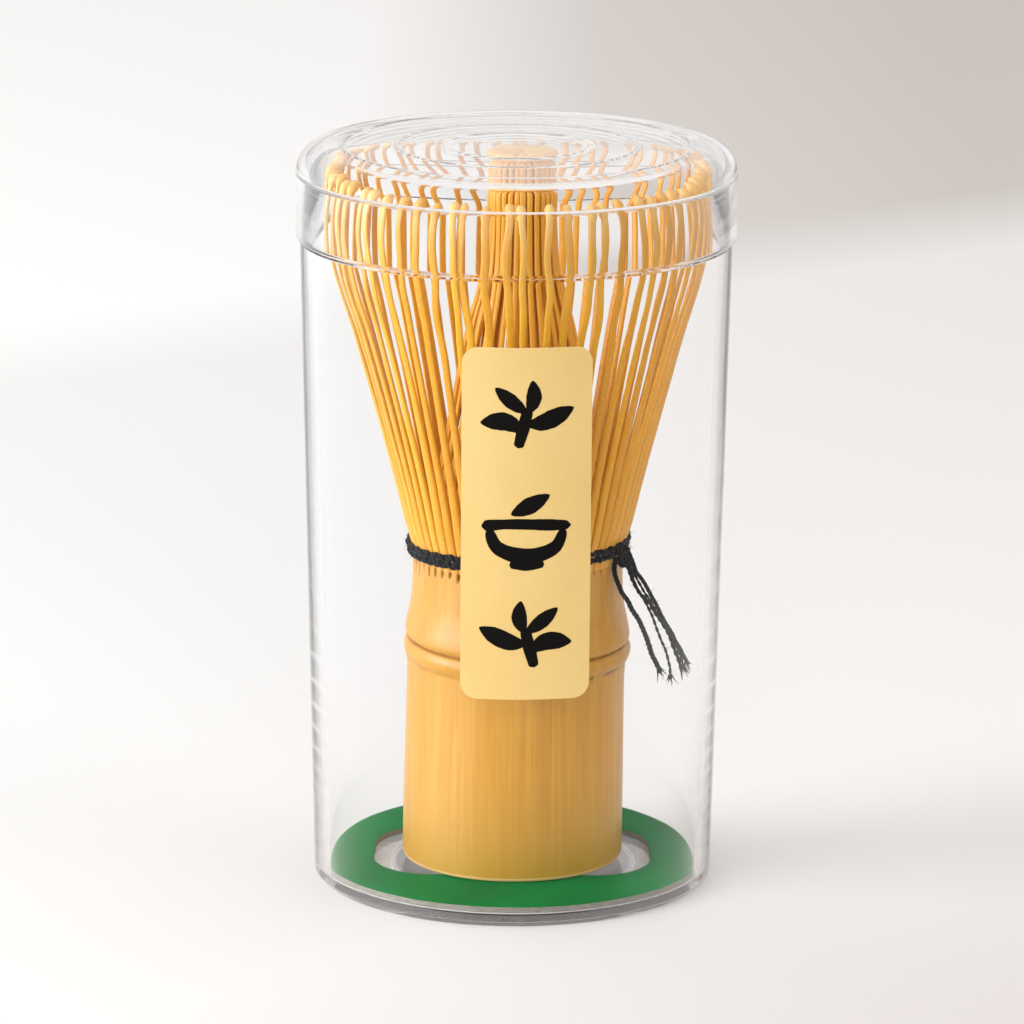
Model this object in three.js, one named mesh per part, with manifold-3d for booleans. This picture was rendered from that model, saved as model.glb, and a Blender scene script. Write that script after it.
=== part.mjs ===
// Bamboo tea whisk (chasen) standing in its clear storage case.
// Millimetres, +Z up. The origin is the middle of the case's flat underside.
// The label faces -Y, and the free ends of the binding thread hang on the +X side.

import * as THREE from 'three';
import { mergeVertices } from 'three/addons/utils/BufferGeometryUtils.js';
import Module from 'manifold-3d';

const wasm = await Module();
wasm.setup();

// ---- Driving dimensions ----

const ROUND_STEPS = 40;   // facets round every turned piece, so that neighbours' facets line up
const CORNER_STEPS = 4;   // facets in each quarter turn of a rounded corner
const SEAT_GAP = 0.05;    // between flat faces that rest on each other
const SLIP_GAP = 0.3;     // between neighbours that are curved or cut

const CUP = {
  footRadius: 32.3,
  footHeight: 1.1,
  flare: 0.0215,          // growth of the outer radius for each millimetre of height
  wall: 2,
  floor: 1.85,
  shoulder: 103.9,        // where the wall starts to step in to the neck
  step: 1.6,              // the height that the step takes
  neckRadius: 33.7,
  neckBore: 32.3,
  rim: 115.6,
  groove: { inner: 19.1, outer: 20.1, depth: 0.35 },
};

const LID = {
  skirtRadius: 35.2,
  skirtBore: 34,
  skirtEnd: 105.5,
  bead: 0.5,
  seat: CUP.rim + SLIP_GAP,
  seatRadius: 32.9,
  ceiling: 118.8,
  ceilingEdge: 2.6,       // radius of the rounding inside the top
  top: 120.1,
  edgeRadius: 3.9,        // and outside it
  ridgeHeight: 0.3,
  ridges: [[27.3, 28.3], [18.4, 19.7], [10.2, 12.5]],   // inner and outer radius of each
};

const BOARD = {           // the card ring on the case's floor
  radius: 30,
  thickness: 1.2,
  holeHalfWidth: 22.6,
  holeHalfDepth: 13.2,
  holeCorner: 10,
};

const LABEL = {
  width: 20.3,
  low: 37.9,
  high: 94.7,
  corner: 2.6,
  thickness: 0.2,
  gap: 0.15,
  turn: THREE.MathUtils.degToRad(3.3),   // how far it was stuck on off the front
};

const FOOT = CUP.floor + SEAT_GAP + BOARD.thickness + SEAT_GAP;   // the whisk's underside

const HANDLE = {
  foot: FOOT,
  bevel: 0.6,
  footRadius: 18,
  bore: 14,
  nodeFloor: 37,          // underside of the wall that closes the culm at its node
  nodeTop: 42,
  neckRadius: 16.7,
  neckBore: 13.4,
  top: 53.2,
};

// The culm's outside between its straight body and its waist: the node swells to a bead, a groove over it
// and the groove's upper lip
const NODE_LINE = [
  [17.6, 33.5],
  [17.65, 36.8],
  [18.25, 38.5],
  [17.6, 39.9],
  [18.05, 41.1],
  [17.6, 43.2],
  [16.95, 46],
  [16.7, 49.5],
];

const SEGMENTS = 16;             // the culm is first split into this many staves
const TINES_PER_SEGMENT = 4;     // and each stave's outer layer into this many tines
const ROOT = HANDLE.top + SLIP_GAP;
const ROOT_BAND_TOP = 56;      // where the slits between the tines start
const OUTER_ROOT_RADIUS = 16.75;
const OUTER_ROOT_BORE = 15.55;
const ROOT_BAND_SPREAD = 0.3;    // how far the band leans out by its top
const OUTER_TINE_WIDTH = 1.15;
const OUTER_TINE_ROOT = 1.1;     // thickness of a tine at its root
const OUTER_TINE_TIP = 0.5;      // and at its tip

const INNER_SLIT = { width: 0.35, low: 58.5, high: 93, middle: 10, length: 14 };

const BINDING = { low: 54.1, high: 57.1, bore: 17.1, flaredBore: 17.85, radius: 18.35, waist: 18.05 };

const KNOT = { radial: 0.9, tangential: 1.8, vertical: 1.8, distance: 19.4, height: 56.2, turn: -0.5 };

const THREAD_RADIUS = 0.38;
const THREAD_SIDES = 8;
const THREAD_STEPS = 9;

// ---- Materials ----

function material(colour, roughness, opacity = 1) {
  return new THREE.MeshStandardMaterial({ color: colour, roughness, metalness: 0, opacity, transparent: opacity < 1 });
}

const bamboo = material(0xe0b070, 0.5);
const shavedBamboo = material(0xebb45a, 0.45);
const buttonBamboo = material(0xf6cc86, 0.5);
const blackThread = material(0x20222a, 0.9);
const clearPlastic = material(0xf2f5f7, 0.08, 0.25);
const greenBoard = material(0x1b6733, 0.8);
const creamPaper = material(0xeed596, 0.7);

// ---- Shape helpers ----

function at(radius, height) {
  return new THREE.Vector2(radius, height);
}

// Turns an outline of (radius, height) points round the Z axis. It runs anticlockwise, and starts and ends
// on the axis or closes on itself.
function turned(outline, steps = ROUND_STEPS) {
  const geometry = new THREE.LatheGeometry(outline, steps);
  geometry.rotateX(Math.PI / 2);
  return geometry;
}

// A flat plate with an outline of (x, z) points, as thick as width along Y and centred on the XZ plane
function plate(outline, width) {
  const geometry = new THREE.ExtrudeGeometry(new THREE.Shape(outline), { depth: width, bevelEnabled: false });
  geometry.translate(0, 0, -width / 2);
  geometry.rotateX(Math.PI / 2);
  return geometry;
}

function arc(radius, height, size, from, to, steps) {
  const curve = new THREE.EllipseCurve(radius, height, size, size, from, to);
  return curve.getPoints(steps);
}

// The points of a rectangle from low to high whose corners are round
function roundedRectangle(halfWidth, low, high, corner) {
  const centres = [
    at(halfWidth - corner, high - corner),
    at(corner - halfWidth, high - corner),
    at(corner - halfWidth, low + corner),
    at(halfWidth - corner, low + corner),
  ];
  return centres.flatMap((centre, index) => {
    const from = index * Math.PI / 2;
    return arc(centre.x, centre.y, corner, from, from + Math.PI / 2, CORNER_STEPS);
  });
}

function solid(geometry) {
  const bare = geometry.clone();
  bare.deleteAttribute('normal');
  bare.deleteAttribute('uv');
  const merged = mergeVertices(bare);
  return new wasm.Manifold(new wasm.Mesh({
    numProp: 3,
    vertProperties: merged.attributes.position.array,
    triVerts: Uint32Array.from(merged.index.array),
  }));
}

function geometryOf(manifold) {
  const mesh = manifold.getMesh();
  const geometry = new THREE.BufferGeometry();
  geometry.setAttribute('position', new THREE.BufferAttribute(mesh.vertProperties, 3));
  geometry.setIndex(new THREE.BufferAttribute(mesh.triVerts, 1));
  return geometry;
}

function piece(name, geometry, finish) {
  const mesh = new THREE.Mesh(geometry, finish);
  mesh.name = name;
  return mesh;
}

// ---- Case ----

function cupRadius(height) {
  return CUP.footRadius + CUP.flare * (height - CUP.footHeight);
}

function cupGeometry() {
  const { inner, outer, depth } = CUP.groove;
  const round = CUP.footHeight;
  return turned([
    at(0, 0),
    at(inner, 0),
    at(inner, depth),
    at(outer, depth),
    at(outer, 0),
    ...arc(CUP.footRadius - round, round, round, -Math.PI / 2, 0, 3),
    at(cupRadius(CUP.shoulder), CUP.shoulder),
    at(CUP.neckRadius, CUP.shoulder + CUP.step),
    at(CUP.neckRadius, CUP.rim),
    at(CUP.neckBore, CUP.rim),
    at(CUP.neckBore, CUP.shoulder),
    at(cupRadius(CUP.floor) - CUP.wall, CUP.floor),
    at(0, CUP.floor),
  ]);
}

// The lid's top face from its rounded edge in to the axis, with its raised rings
function lidTop() {
  const raised = LID.top + LID.ridgeHeight;
  const rings = LID.ridges.flatMap(([inner, outer]) => [
    at(outer, LID.top),
    at(outer - LID.ridgeHeight / 2, raised),
    at(inner + LID.ridgeHeight / 2, raised),
    at(inner, LID.top),
  ]);
  const edge = arc(LID.skirtRadius - LID.edgeRadius, LID.top - LID.edgeRadius, LID.edgeRadius, 0, Math.PI / 2, CORNER_STEPS);
  return [...edge, ...rings, at(0, LID.top)];
}

function lidGeometry() {
  const round = LID.ceilingEdge;
  return turned([
    at(0, LID.ceiling),
    ...arc(LID.seatRadius - round, LID.ceiling - round, round, 0, Math.PI / 2, CORNER_STEPS).reverse(),
    at(LID.seatRadius, LID.seat),
    at(LID.skirtBore, LID.seat),
    at(LID.skirtBore, LID.skirtEnd + LID.bead),
    at(LID.skirtBore + LID.bead / 2, LID.skirtEnd),
    at(LID.skirtRadius - LID.bead, LID.skirtEnd),
    at(LID.skirtRadius, LID.skirtEnd + LID.bead),
    ...lidTop(),
  ]);
}

function boardGeometry() {
  const shape = new THREE.Shape();
  shape.absarc(0, 0, BOARD.radius, 0, 2 * Math.PI);
  const { holeHalfWidth, holeHalfDepth, holeCorner } = BOARD;
  shape.holes.push(new THREE.Path(roundedRectangle(holeHalfWidth, -holeHalfDepth, holeHalfDepth, holeCorner)));
  return new THREE.ExtrudeGeometry(shape, {
    depth: BOARD.thickness,
    bevelEnabled: false,
    curveSegments: ROUND_STEPS / 2,
  });
}

// The label is the piece of a thin tapered shell round the cup that a rounded plate cuts out
function labelGeometry() {
  const low = cupRadius(LABEL.low) + LABEL.gap;
  const high = cupRadius(LABEL.high) + LABEL.gap;
  const shell = solid(turned([
    at(low, LABEL.low),
    at(low + LABEL.thickness, LABEL.low),
    at(high + LABEL.thickness, LABEL.high),
    at(high, LABEL.high),
    at(low, LABEL.low),
  ]));
  const outline = roundedRectangle(LABEL.width / 2, LABEL.low, LABEL.high, LABEL.corner);
  const cutter = plate(outline, CUP.footRadius);
  cutter.translate(0, -CUP.footRadius, 0);
  return geometryOf(shell.intersect(solid(cutter.rotateZ(LABEL.turn))));
}

// ---- Whisk ----

// Outside of the culm: straight body, swollen node with a groove over it, then the waist under the binding
function handleGeometry() {
  return turned([
    at(0, HANDLE.nodeFloor),
    at(HANDLE.bore, HANDLE.nodeFloor - HANDLE.bevel),
    at(HANDLE.bore, HANDLE.foot + HANDLE.bevel),
    at(HANDLE.bore + HANDLE.bevel, HANDLE.foot),
    at(HANDLE.footRadius - HANDLE.bevel, HANDLE.foot),
    at(HANDLE.footRadius, HANDLE.foot + HANDLE.bevel),
    ...NODE_LINE.map(([radius, height]) => at(radius, height)),
    at(HANDLE.neckRadius, HANDLE.top),
    at(HANDLE.neckBore, HANDLE.top),
    at(HANDLE.neckBore, HANDLE.nodeTop + HANDLE.bevel),
    at(0, HANDLE.nodeTop),
  ]);
}

// The outside of an outer tine: it flares from the binding and curls in at its tip
const OUTER_TINE_LINE = [
  at(OUTER_ROOT_RADIUS, ROOT),
  at(17.55, 57),
  at(20.5, 69.1),
  at(26.45, 89.3),
  at(29.85, 100.3),
  at(31.3, 108.9),
  at(30.9, 113.4),
  at(28.9, 116.6),
];

// The outline of a tine: its outside, and back along its inside, which thins from root to tip
function tineOutline(line, rootThickness, tipThickness) {
  const inside = line.map((point, index) => {
    const before = line[Math.max(index - 1, 0)];
    const after = line[Math.min(index + 1, line.length - 1)];
    const along = after.clone().sub(before).normalize();
    const thickness = THREE.MathUtils.lerp(rootThickness, tipThickness, index / (line.length - 1));
    return at(point.x - along.y * thickness, point.y + along.x * thickness);
  });
  return [...line, ...inside.reverse()];
}

// A wedge of the whisk's round, one segment wide less the gap to its neighbours, taller than the whisk
function segmentWedge() {
  const half = Math.PI / SEGMENTS;
  const apex = SLIP_GAP / 2 / Math.sin(half);
  const reach = LID.skirtRadius;
  const side = (reach - apex) * Math.tan(half);
  const shape = new THREE.Shape([at(apex, 0), at(reach, -side), at(reach, side)]);
  return new THREE.ExtrudeGeometry(shape, { depth: LID.top, bevelEnabled: false });
}

function tineAngle(index) {
  const pitch = 2 * Math.PI / SEGMENTS / TINES_PER_SEGMENT;
  return (index - (TINES_PER_SEGMENT - 1) / 2) * pitch;
}

// One stave's outer layer: tines that fan out from a root band
function outerTinesGeometry() {
  const band = [
    at(OUTER_ROOT_BORE, ROOT),
    at(OUTER_ROOT_RADIUS, ROOT),
    at(OUTER_ROOT_RADIUS + ROOT_BAND_SPREAD, ROOT_BAND_TOP),
    at(OUTER_ROOT_BORE + ROOT_BAND_SPREAD, ROOT_BAND_TOP),
  ];
  const wedge = solid(segmentWedge());
  let tines = solid(plate(band, OUTER_ROOT_RADIUS)).intersect(wedge);
  const outline = tineOutline(OUTER_TINE_LINE, OUTER_TINE_ROOT, OUTER_TINE_TIP);
  for (let index = 0; index < TINES_PER_SEGMENT; index += 1) {
    const tine = plate(outline, OUTER_TINE_WIDTH);
    tines = tines.add(solid(tine.rotateZ(tineAngle(index))));
  }
  return geometryOf(tines);
}

// The side view of a stave's inner layer: it leans in to the middle bundle, stands up along it,
// and folds in at the top, where the sixteen ends make the whisk's round button
const INNER_STAVE_OUTLINE = [
  at(13.5, ROOT),
  at(15.2, ROOT),
  at(15.3, 57.2),
  at(9.2, 89.2),
  at(7, 97.8),
  at(6, 105.3),
  at(5.7, 115.1),
  at(5.2, 118.2),
  at(4.4, 118.55),
  at(0.8, 118.45),
  at(0.8, 117.1),
  at(4, 116),
  at(4.7, 113.8),
  at(5.1, 105.3),
  at(6.1, 97.8),
  at(8.2, 89.2),
  at(13.5, 57.2),
];

// One stave's inner layer, slit into tines between its root and the bundle
function innerTinesGeometry() {
  let stave = solid(plate(INNER_STAVE_OUTLINE, HANDLE.neckBore)).intersect(solid(segmentWedge()));
  const { width, low, high, middle, length } = INNER_SLIT;
  for (let index = 0; index < TINES_PER_SEGMENT - 1; index += 1) {
    const slit = new THREE.BoxGeometry(length, width, high - low);
    slit.translate(middle, 0, (low + high) / 2);
    const between = (tineAngle(index) + tineAngle(index + 1)) / 2;
    stave = stave.subtract(solid(slit.rotateZ(between)));
  }
  return geometryOf(stave);
}

// Two wraps of thread, one over the other
function bindingGeometry() {
  const { low, high, bore, flaredBore, radius, waist } = BINDING;
  const quarter = (high - low) / 4;
  return turned([
    at(bore, low),
    at(waist, low),
    at(radius, low + quarter),
    at(waist, low + 2 * quarter),
    at(radius, low + 3 * quarter),
    at(waist, high),
    at(flaredBore, high),
    at(bore, low),
  ]);
}

function knotGeometry() {
  const geometry = new THREE.SphereGeometry(1, 12, 8);
  geometry.scale(KNOT.radial, KNOT.tangential, KNOT.vertical);
  geometry.translate(KNOT.distance, 0, KNOT.height);
  return geometry.rotateZ(KNOT.turn);
}

// The routes of the thread's free ends, from the knot down beside the handle
const THREAD_ROUTES = [
  [[16, -9.3, 53.4], [17.2, -9.6, 49.8], [20.5, -9.4, 43.7], [23.4, -9, 36.5]],
  [[17.2, -8.6, 53.4], [19.2, -8.9, 49.5], [22.3, -8.4, 45], [24.2, -8.6, 39.9], [25.1, -8.4, 35.3]],
  [[18.2, -7.2, 53.5], [20.3, -7.3, 48.8], [22.6, -7.2, 45.4], [24.9, -7.2, 41.8], [26.8, -7.2, 36.4]],
  [[18.6, -6, 53.6], [20.9, -6, 48.9], [23.4, -6, 44.9], [26, -6, 40], [27.6, -6, 35.8]],
  [[18.9, -4.7, 53.7], [21.1, -4.7, 49.8], [23.3, -4.6, 45.5], [26, -4.6, 40.4], [28.2, -4.6, 36.5]],
];

function threadEndGeometry(route) {
  const path = new THREE.CatmullRomCurve3(route.map((point) => new THREE.Vector3(...point)));
  const section = new THREE.Shape();
  section.absarc(0, 0, THREAD_RADIUS, 0, 2 * Math.PI);
  return new THREE.ExtrudeGeometry(section, {
    steps: THREAD_STEPS,
    curveSegments: THREAD_SIDES / 2,
    extrudePath: path,
  });
}

// ---- Assembly ----

function buildCase() {
  const group = new THREE.Group();
  const board = piece('base_ring', boardGeometry(), greenBoard);
  board.position.z = CUP.floor + SEAT_GAP;
  group.add(piece('case_cup', cupGeometry(), clearPlastic));
  group.add(board);
  group.add(piece('label', labelGeometry(), creamPaper));
  return group;
}

function addStaves(group, name, geometry, finish) {
  for (let index = 0; index < SEGMENTS; index += 1) {
    const number = String(index + 1).padStart(2, '0');
    const stave = piece(`${name}_${number}`, geometry, finish);
    stave.rotation.z = index * 2 * Math.PI / SEGMENTS;
    group.add(stave);
  }
}

function buildWhisk() {
  const group = new THREE.Group();
  group.add(piece('handle', handleGeometry(), bamboo));
  addStaves(group, 'outer_tines', outerTinesGeometry(), shavedBamboo);
  addStaves(group, 'inner_tines', innerTinesGeometry(), buttonBamboo);
  group.add(piece('thread_binding', bindingGeometry(), blackThread));
  group.add(piece('thread_knot', knotGeometry(), blackThread));
  THREAD_ROUTES.forEach((route, index) => {
    group.add(piece(`thread_end_${index + 1}`, threadEndGeometry(route), blackThread));
  });
  return group;
}

const whiskInCase = new THREE.Group();
whiskInCase.add(buildCase());
whiskInCase.add(buildWhisk());
whiskInCase.add(piece('case_lid', lidGeometry(), clearPlastic));

export default whiskInCase;
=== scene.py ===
"""A bamboo tea whisk standing in its clear case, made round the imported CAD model.

Lengths are millimetres in the row frame until make_piece turns them into metres. The label faces -Y and the
thread's loose ends hang on the +X side.
"""

import math
import random

import bmesh
import bpy
from mathutils import Matrix, Vector, noise


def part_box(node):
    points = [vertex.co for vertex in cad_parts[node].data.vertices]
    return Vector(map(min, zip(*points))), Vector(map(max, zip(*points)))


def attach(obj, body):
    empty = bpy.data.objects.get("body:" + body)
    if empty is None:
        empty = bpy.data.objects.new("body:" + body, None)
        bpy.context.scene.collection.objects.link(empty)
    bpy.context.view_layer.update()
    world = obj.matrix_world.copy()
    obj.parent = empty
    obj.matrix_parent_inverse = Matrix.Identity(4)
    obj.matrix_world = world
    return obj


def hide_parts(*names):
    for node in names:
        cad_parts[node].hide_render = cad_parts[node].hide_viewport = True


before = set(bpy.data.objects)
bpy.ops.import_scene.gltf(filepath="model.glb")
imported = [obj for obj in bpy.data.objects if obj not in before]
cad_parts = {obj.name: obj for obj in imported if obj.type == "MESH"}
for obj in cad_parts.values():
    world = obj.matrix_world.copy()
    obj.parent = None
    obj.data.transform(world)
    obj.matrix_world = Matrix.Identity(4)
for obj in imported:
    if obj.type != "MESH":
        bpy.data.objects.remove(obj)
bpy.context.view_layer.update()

MM = 0.001
TURN = 2 * math.pi


def extent(node):
    """A CAD node's lowest and highest corners, in millimetres."""
    low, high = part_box(node)
    return low / MM, high / MM


# ---- Sizes, from the CAD nodes ----

CUP_HIGH = extent("case_cup")[1]
LID_LOW, LID_HIGH = extent("case_lid")
BOARD_LOW, BOARD_HIGH = extent("base_ring")
LABEL_LOW, LABEL_HIGH = extent("label")
HANDLE_LOW, HANDLE_HIGH = extent("handle")
BINDING_LOW, BINDING_HIGH = extent("thread_binding")
KNOT_LOW, KNOT_HIGH = extent("thread_knot")

STAVES = 16
TINES_PER_STAVE = 4
TINES = STAVES * TINES_PER_STAVE
PITCH = TURN / TINES

CUP_FLARE = 0.0215              # growth of the cup's outer radius for each millimetre of height
CUP_SHOULDER = LID_LOW.z - 0.4  # where the wall starts to draw in to the neck
CUP_WALL = 2.0
CUP_NECK = (32.3, 33.7)         # inner and outer radius of the neck that the lid slips over
LID_WALL = 1.2
LID_TOP_WALL = 1.3
CUP_NECK_STEP = 0.9             # height over which the wall draws in to the neck
LID_EDGE = 3.9                  # radius of the lid's shoulder
LID_INNER_EDGE = 2.6            # and of the rounding inside it
LID_RIDGE_ROOM = 0.3            # the CAD ridges' height, above the lid's flat top
LID_RIDGES = ((27.3, 28.3), (18.4, 19.7), (10.2, 12.5))
LID_RIDGE_HEIGHT = 0.22
LID_RIDGE_ROUNDING = 0.3
LATHE_STEPS = 360

BOARD_HOLE = (22.6, 13.2, 10.0)  # half width, half depth and corner radius

NODE_HEIGHT = 39.35             # the dark groove of the culm's node
NODE_TILT = math.radians(1.5)   # its right side is lower
NECK_RADIUS = 17.05
BINDING_DROP = 0.65             # how far below the CAD wraps' middle the binding lies
BINDING_RISE = (0.6, -0.75)     # and how it tilts, for a step of one radius along X and Y
CULM_WALL = 4.0
SLIT_DEPTH = 0.75
SLIT_COLUMNS = 10               # mesh columns for each tine round the handle

LEAN_AT_BINDING = 0.7           # how far the whisk leans towards +X
LEAN_OF_CROWN = 0.35
LEAN_OF_BUTTON = 0.9

OUTER_WIDTH = (1.64, 1.15)      # a tine's width at its root and near its tip
OUTER_THICKNESS = (1.0, 0.5)
OUTER_BEAD = 1.7                # the round end of its tip
INNER_WIDTH = (1.3, 0.9)
INNER_THICKNESS = (0.8, 0.5)
BUTTON_RADIUS = 5.7
BUTTON_TOP = extent("inner_tines_01")[1].z

PLY_RADIUS = 0.33
PLY_PITCH = 2.4                 # length of one twist of the thread
FIBRE = 0.055                   # thickness of a stray fibre

WORLD_BACK = (-0.6, 0.2, 0.92)  # how far round to the back the studio brightens, and how bright it gets
WORLD_TOP = (0.2, 0.5, 0.72)    # and how far up
WORLD_DIM = 0.62                # how bright it is in front and low down
LIGHT_BOUNCES = 40              # light that is caught in the clear walls bounces along inside them

LAMP_TARGET = (0, 0, 0.06)
LAMPS = (                       # name, place, size, power, colour, and whether clear plastic mirrors it
    ("key", (-1.1, -0.35, 0.35), (0.7, 0.6), 12.3, (0.95, 0.97, 1.0), True),
    ("front", (0.1, -1.4, 0.5), (1.0, 0.6), 8.0, (1, 1, 1), False),
    ("fill", (1.1, -0.5, 0.5), (0.7, 0.6), 2.5, (1, 1, 1), False),
)
CAMERA_PLACE = (-0.0004, -1.0, 0.308)
CAMERA_DOWN = math.radians(13.926)
CAMERA_ROLL = math.radians(0.38)
CAMERA_LENS = 224.64
SENSOR_WIDTH = 36


# ---- Mesh helpers ----

class Shell:
    """Points in millimetres, faces with a material index each, and named numbers for each point."""

    def __init__(self, *marks):
        self.points = []
        self.faces = []
        self.slots = []
        self.marks = {mark: [] for mark in marks}

    def add(self, points, faces, slot=0, **marks):
        start = len(self.points)
        self.points.extend(points)
        self.faces.extend([start + corner for corner in face] for face in faces)
        self.slots.extend([slot] * len(faces))
        for mark, values in self.marks.items():
            given = marks.get(mark, 0.0)
            values.extend(given if isinstance(given, list) else [given] * len(points))


def make_piece(name, shell, body, materials, nodes=(), sharp=38):
    """The shell as a smooth-shaded object that rides on a body and stands for CAD nodes."""
    mesh = bpy.data.meshes.new(name)
    mesh.from_pydata([tuple(point * MM) for point in shell.points], [], shell.faces)
    for material in materials:
        mesh.materials.append(material)
    mesh.polygons.foreach_set("material_index", shell.slots)
    for mark, values in shell.marks.items():
        layer = mesh.attributes.new(mark, "FLOAT", "POINT")
        layer.data.foreach_set("value", values)
    work = bmesh.new()
    work.from_mesh(mesh)
    bmesh.ops.recalc_face_normals(work, faces=work.faces)
    work.to_mesh(mesh)
    work.free()
    mesh.shade_smooth()
    mesh.set_sharp_from_angle(angle=math.radians(sharp))
    thing = bpy.data.objects.new(name, mesh)
    bpy.context.scene.collection.objects.link(thing)
    if nodes:
        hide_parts(*nodes)
    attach(thing, body)
    return thing


def mix(start, end, share):
    return start + (end - start) * share


def smoothstep(low, high, value):
    share = min(max((value - low) / (high - low), 0.0), 1.0)
    return share * share * (3 - 2 * share)


def rounded(corners, steps=5):
    """Points of an open outline of (radius, height, rounding) corners."""
    points = []
    for index, (radius, height, size) in enumerate(corners):
        corner = Vector((radius, height))
        if not size:
            points.append(corner)
            continue
        back = (Vector(corners[index - 1][:2]) - corner).normalized()
        onward = (Vector(corners[index + 1][:2]) - corner).normalized()
        half = back.angle(onward) / 2
        centre = corner + (back + onward).normalized() * (size / math.sin(half))
        first = corner + back * (size / math.tan(half)) - centre
        last = corner + onward * (size / math.tan(half)) - centre
        sweep_angle = math.pi - 2 * half
        for step in range(steps + 1):
            share = step / steps
            a = math.sin((1 - share) * sweep_angle)
            b = math.sin(share * sweep_angle)
            points.append(centre + (first * a + last * b) / math.sin(sweep_angle))
    return points


def spline(controls, count):
    """count points spread evenly along a Catmull-Rom curve through controls."""
    controls = [Vector(point) for point in controls]
    ends = [2 * controls[0] - controls[1], *controls, 2 * controls[-1] - controls[-2]]
    dense = []
    fine = 12
    for before, start, end, after in zip(ends, ends[1:], ends[2:], ends[3:]):
        for step in range(fine):
            t = step / fine
            dense.append(0.5 * (2 * start + (end - before) * t
                                + (2 * before - 5 * start + 4 * end - after) * t ** 2
                                + (3 * start - before - 3 * end + after) * t ** 3))
    dense.append(controls[-1])
    reach = [0.0]
    for start, end in zip(dense, dense[1:]):
        reach.append(reach[-1] + (end - start).length)
    points = []
    index = 0
    for step in range(count):
        wanted = reach[-1] * step / (count - 1)
        while index < len(reach) - 2 and reach[index + 1] < wanted:
            index += 1
        share = (wanted - reach[index]) / (reach[index + 1] - reach[index])
        points.append(dense[index].lerp(dense[index + 1], min(share, 1.0)))
    return points


def revolve(shell, outline, steps=LATHE_STEPS, closed=False, slot=0, shape=None, **marks):
    """Turns an outline of (radius, height) points round Z. shape may move each point."""
    rings = []
    points = []
    for radius, height in outline:
        count = 1 if radius < 1e-6 else steps
        rings.append(range(len(points), len(points) + count))
        for step in range(count):
            angle = TURN * step / steps
            point = Vector((radius * math.cos(angle), radius * math.sin(angle), height))
            points.append(shape(point, angle) if shape else point)
    faces = []
    pairs = list(zip(rings, rings[1:])) + ([(rings[-1], rings[0])] if closed else [])
    for low, high in pairs:
        for step in range(steps):
            corners = [low[step % len(low)], low[(step + 1) % len(low)],
                       high[(step + 1) % len(high)], high[step % len(high)]]
            faces.append(list(dict.fromkeys(corners)))
    shell.add(points, faces, slot, **marks)


def frames_along(path, closed=False, outward=None):
    """(tangent, normal, side) at each point. outward gives the normal's rough direction at a point."""
    frames = []
    normal = None
    for index, point in enumerate(path):
        before = path[index - 1] if index or closed else point
        after = path[(index + 1) % len(path)] if index + 1 < len(path) or closed else point
        tangent = (after - before).normalized()
        if outward:
            normal = outward(point)
        elif normal is None:
            normal = tangent.orthogonal()
        normal = (normal - tangent * normal.dot(tangent)).normalized()
        frames.append((tangent, normal, tangent.cross(normal)))
    return frames


def sweep(shell, path, section, closed=False, outward=None, slot=0, **marks):
    """Carries a section along a path. section(share) gives (side, normal) offsets at that share."""
    frames = frames_along(path, closed, outward)
    last = len(path) - (0 if closed else 1)
    points = []
    sides = 0
    for index, (point, (_, normal, side)) in enumerate(zip(path, frames)):
        offsets = section(index / last)
        sides = len(offsets)
        points.extend(point + side * a + normal * b for a, b in offsets)
    faces = []
    for ring in range(last):
        low = ring * sides
        high = (ring + 1) % len(path) * sides
        for corner in range(sides):
            following = (corner + 1) % sides
            faces.append([low + corner, low + following, high + following, high + corner])
    if not closed:
        faces.append(list(range(sides)))
        faces.append(list(range(len(points) - sides, len(points))))
    spread = {mark: [value(index / last) for index in range(len(path)) for _ in range(sides)]
              if callable(value) else value for mark, value in marks.items()}
    shell.add(points, faces, slot, **spread)


def oval(width, thickness, sides, boxy=1.0):
    """Offsets of a closed section. boxy is 1 for an ellipse, and lower for a squarer one."""
    offsets = []
    for step in range(sides):
        angle = TURN * (step + 0.5) / sides
        x = math.copysign(abs(math.cos(angle)) ** boxy, math.cos(angle))
        y = math.copysign(abs(math.sin(angle)) ** boxy, math.sin(angle))
        offsets.append((x * width / 2, y * thickness / 2))
    return offsets


def away_from_axis(point):
    return Vector((point.x, point.y, 0)).normalized()


# ---- Node materials ----

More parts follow.
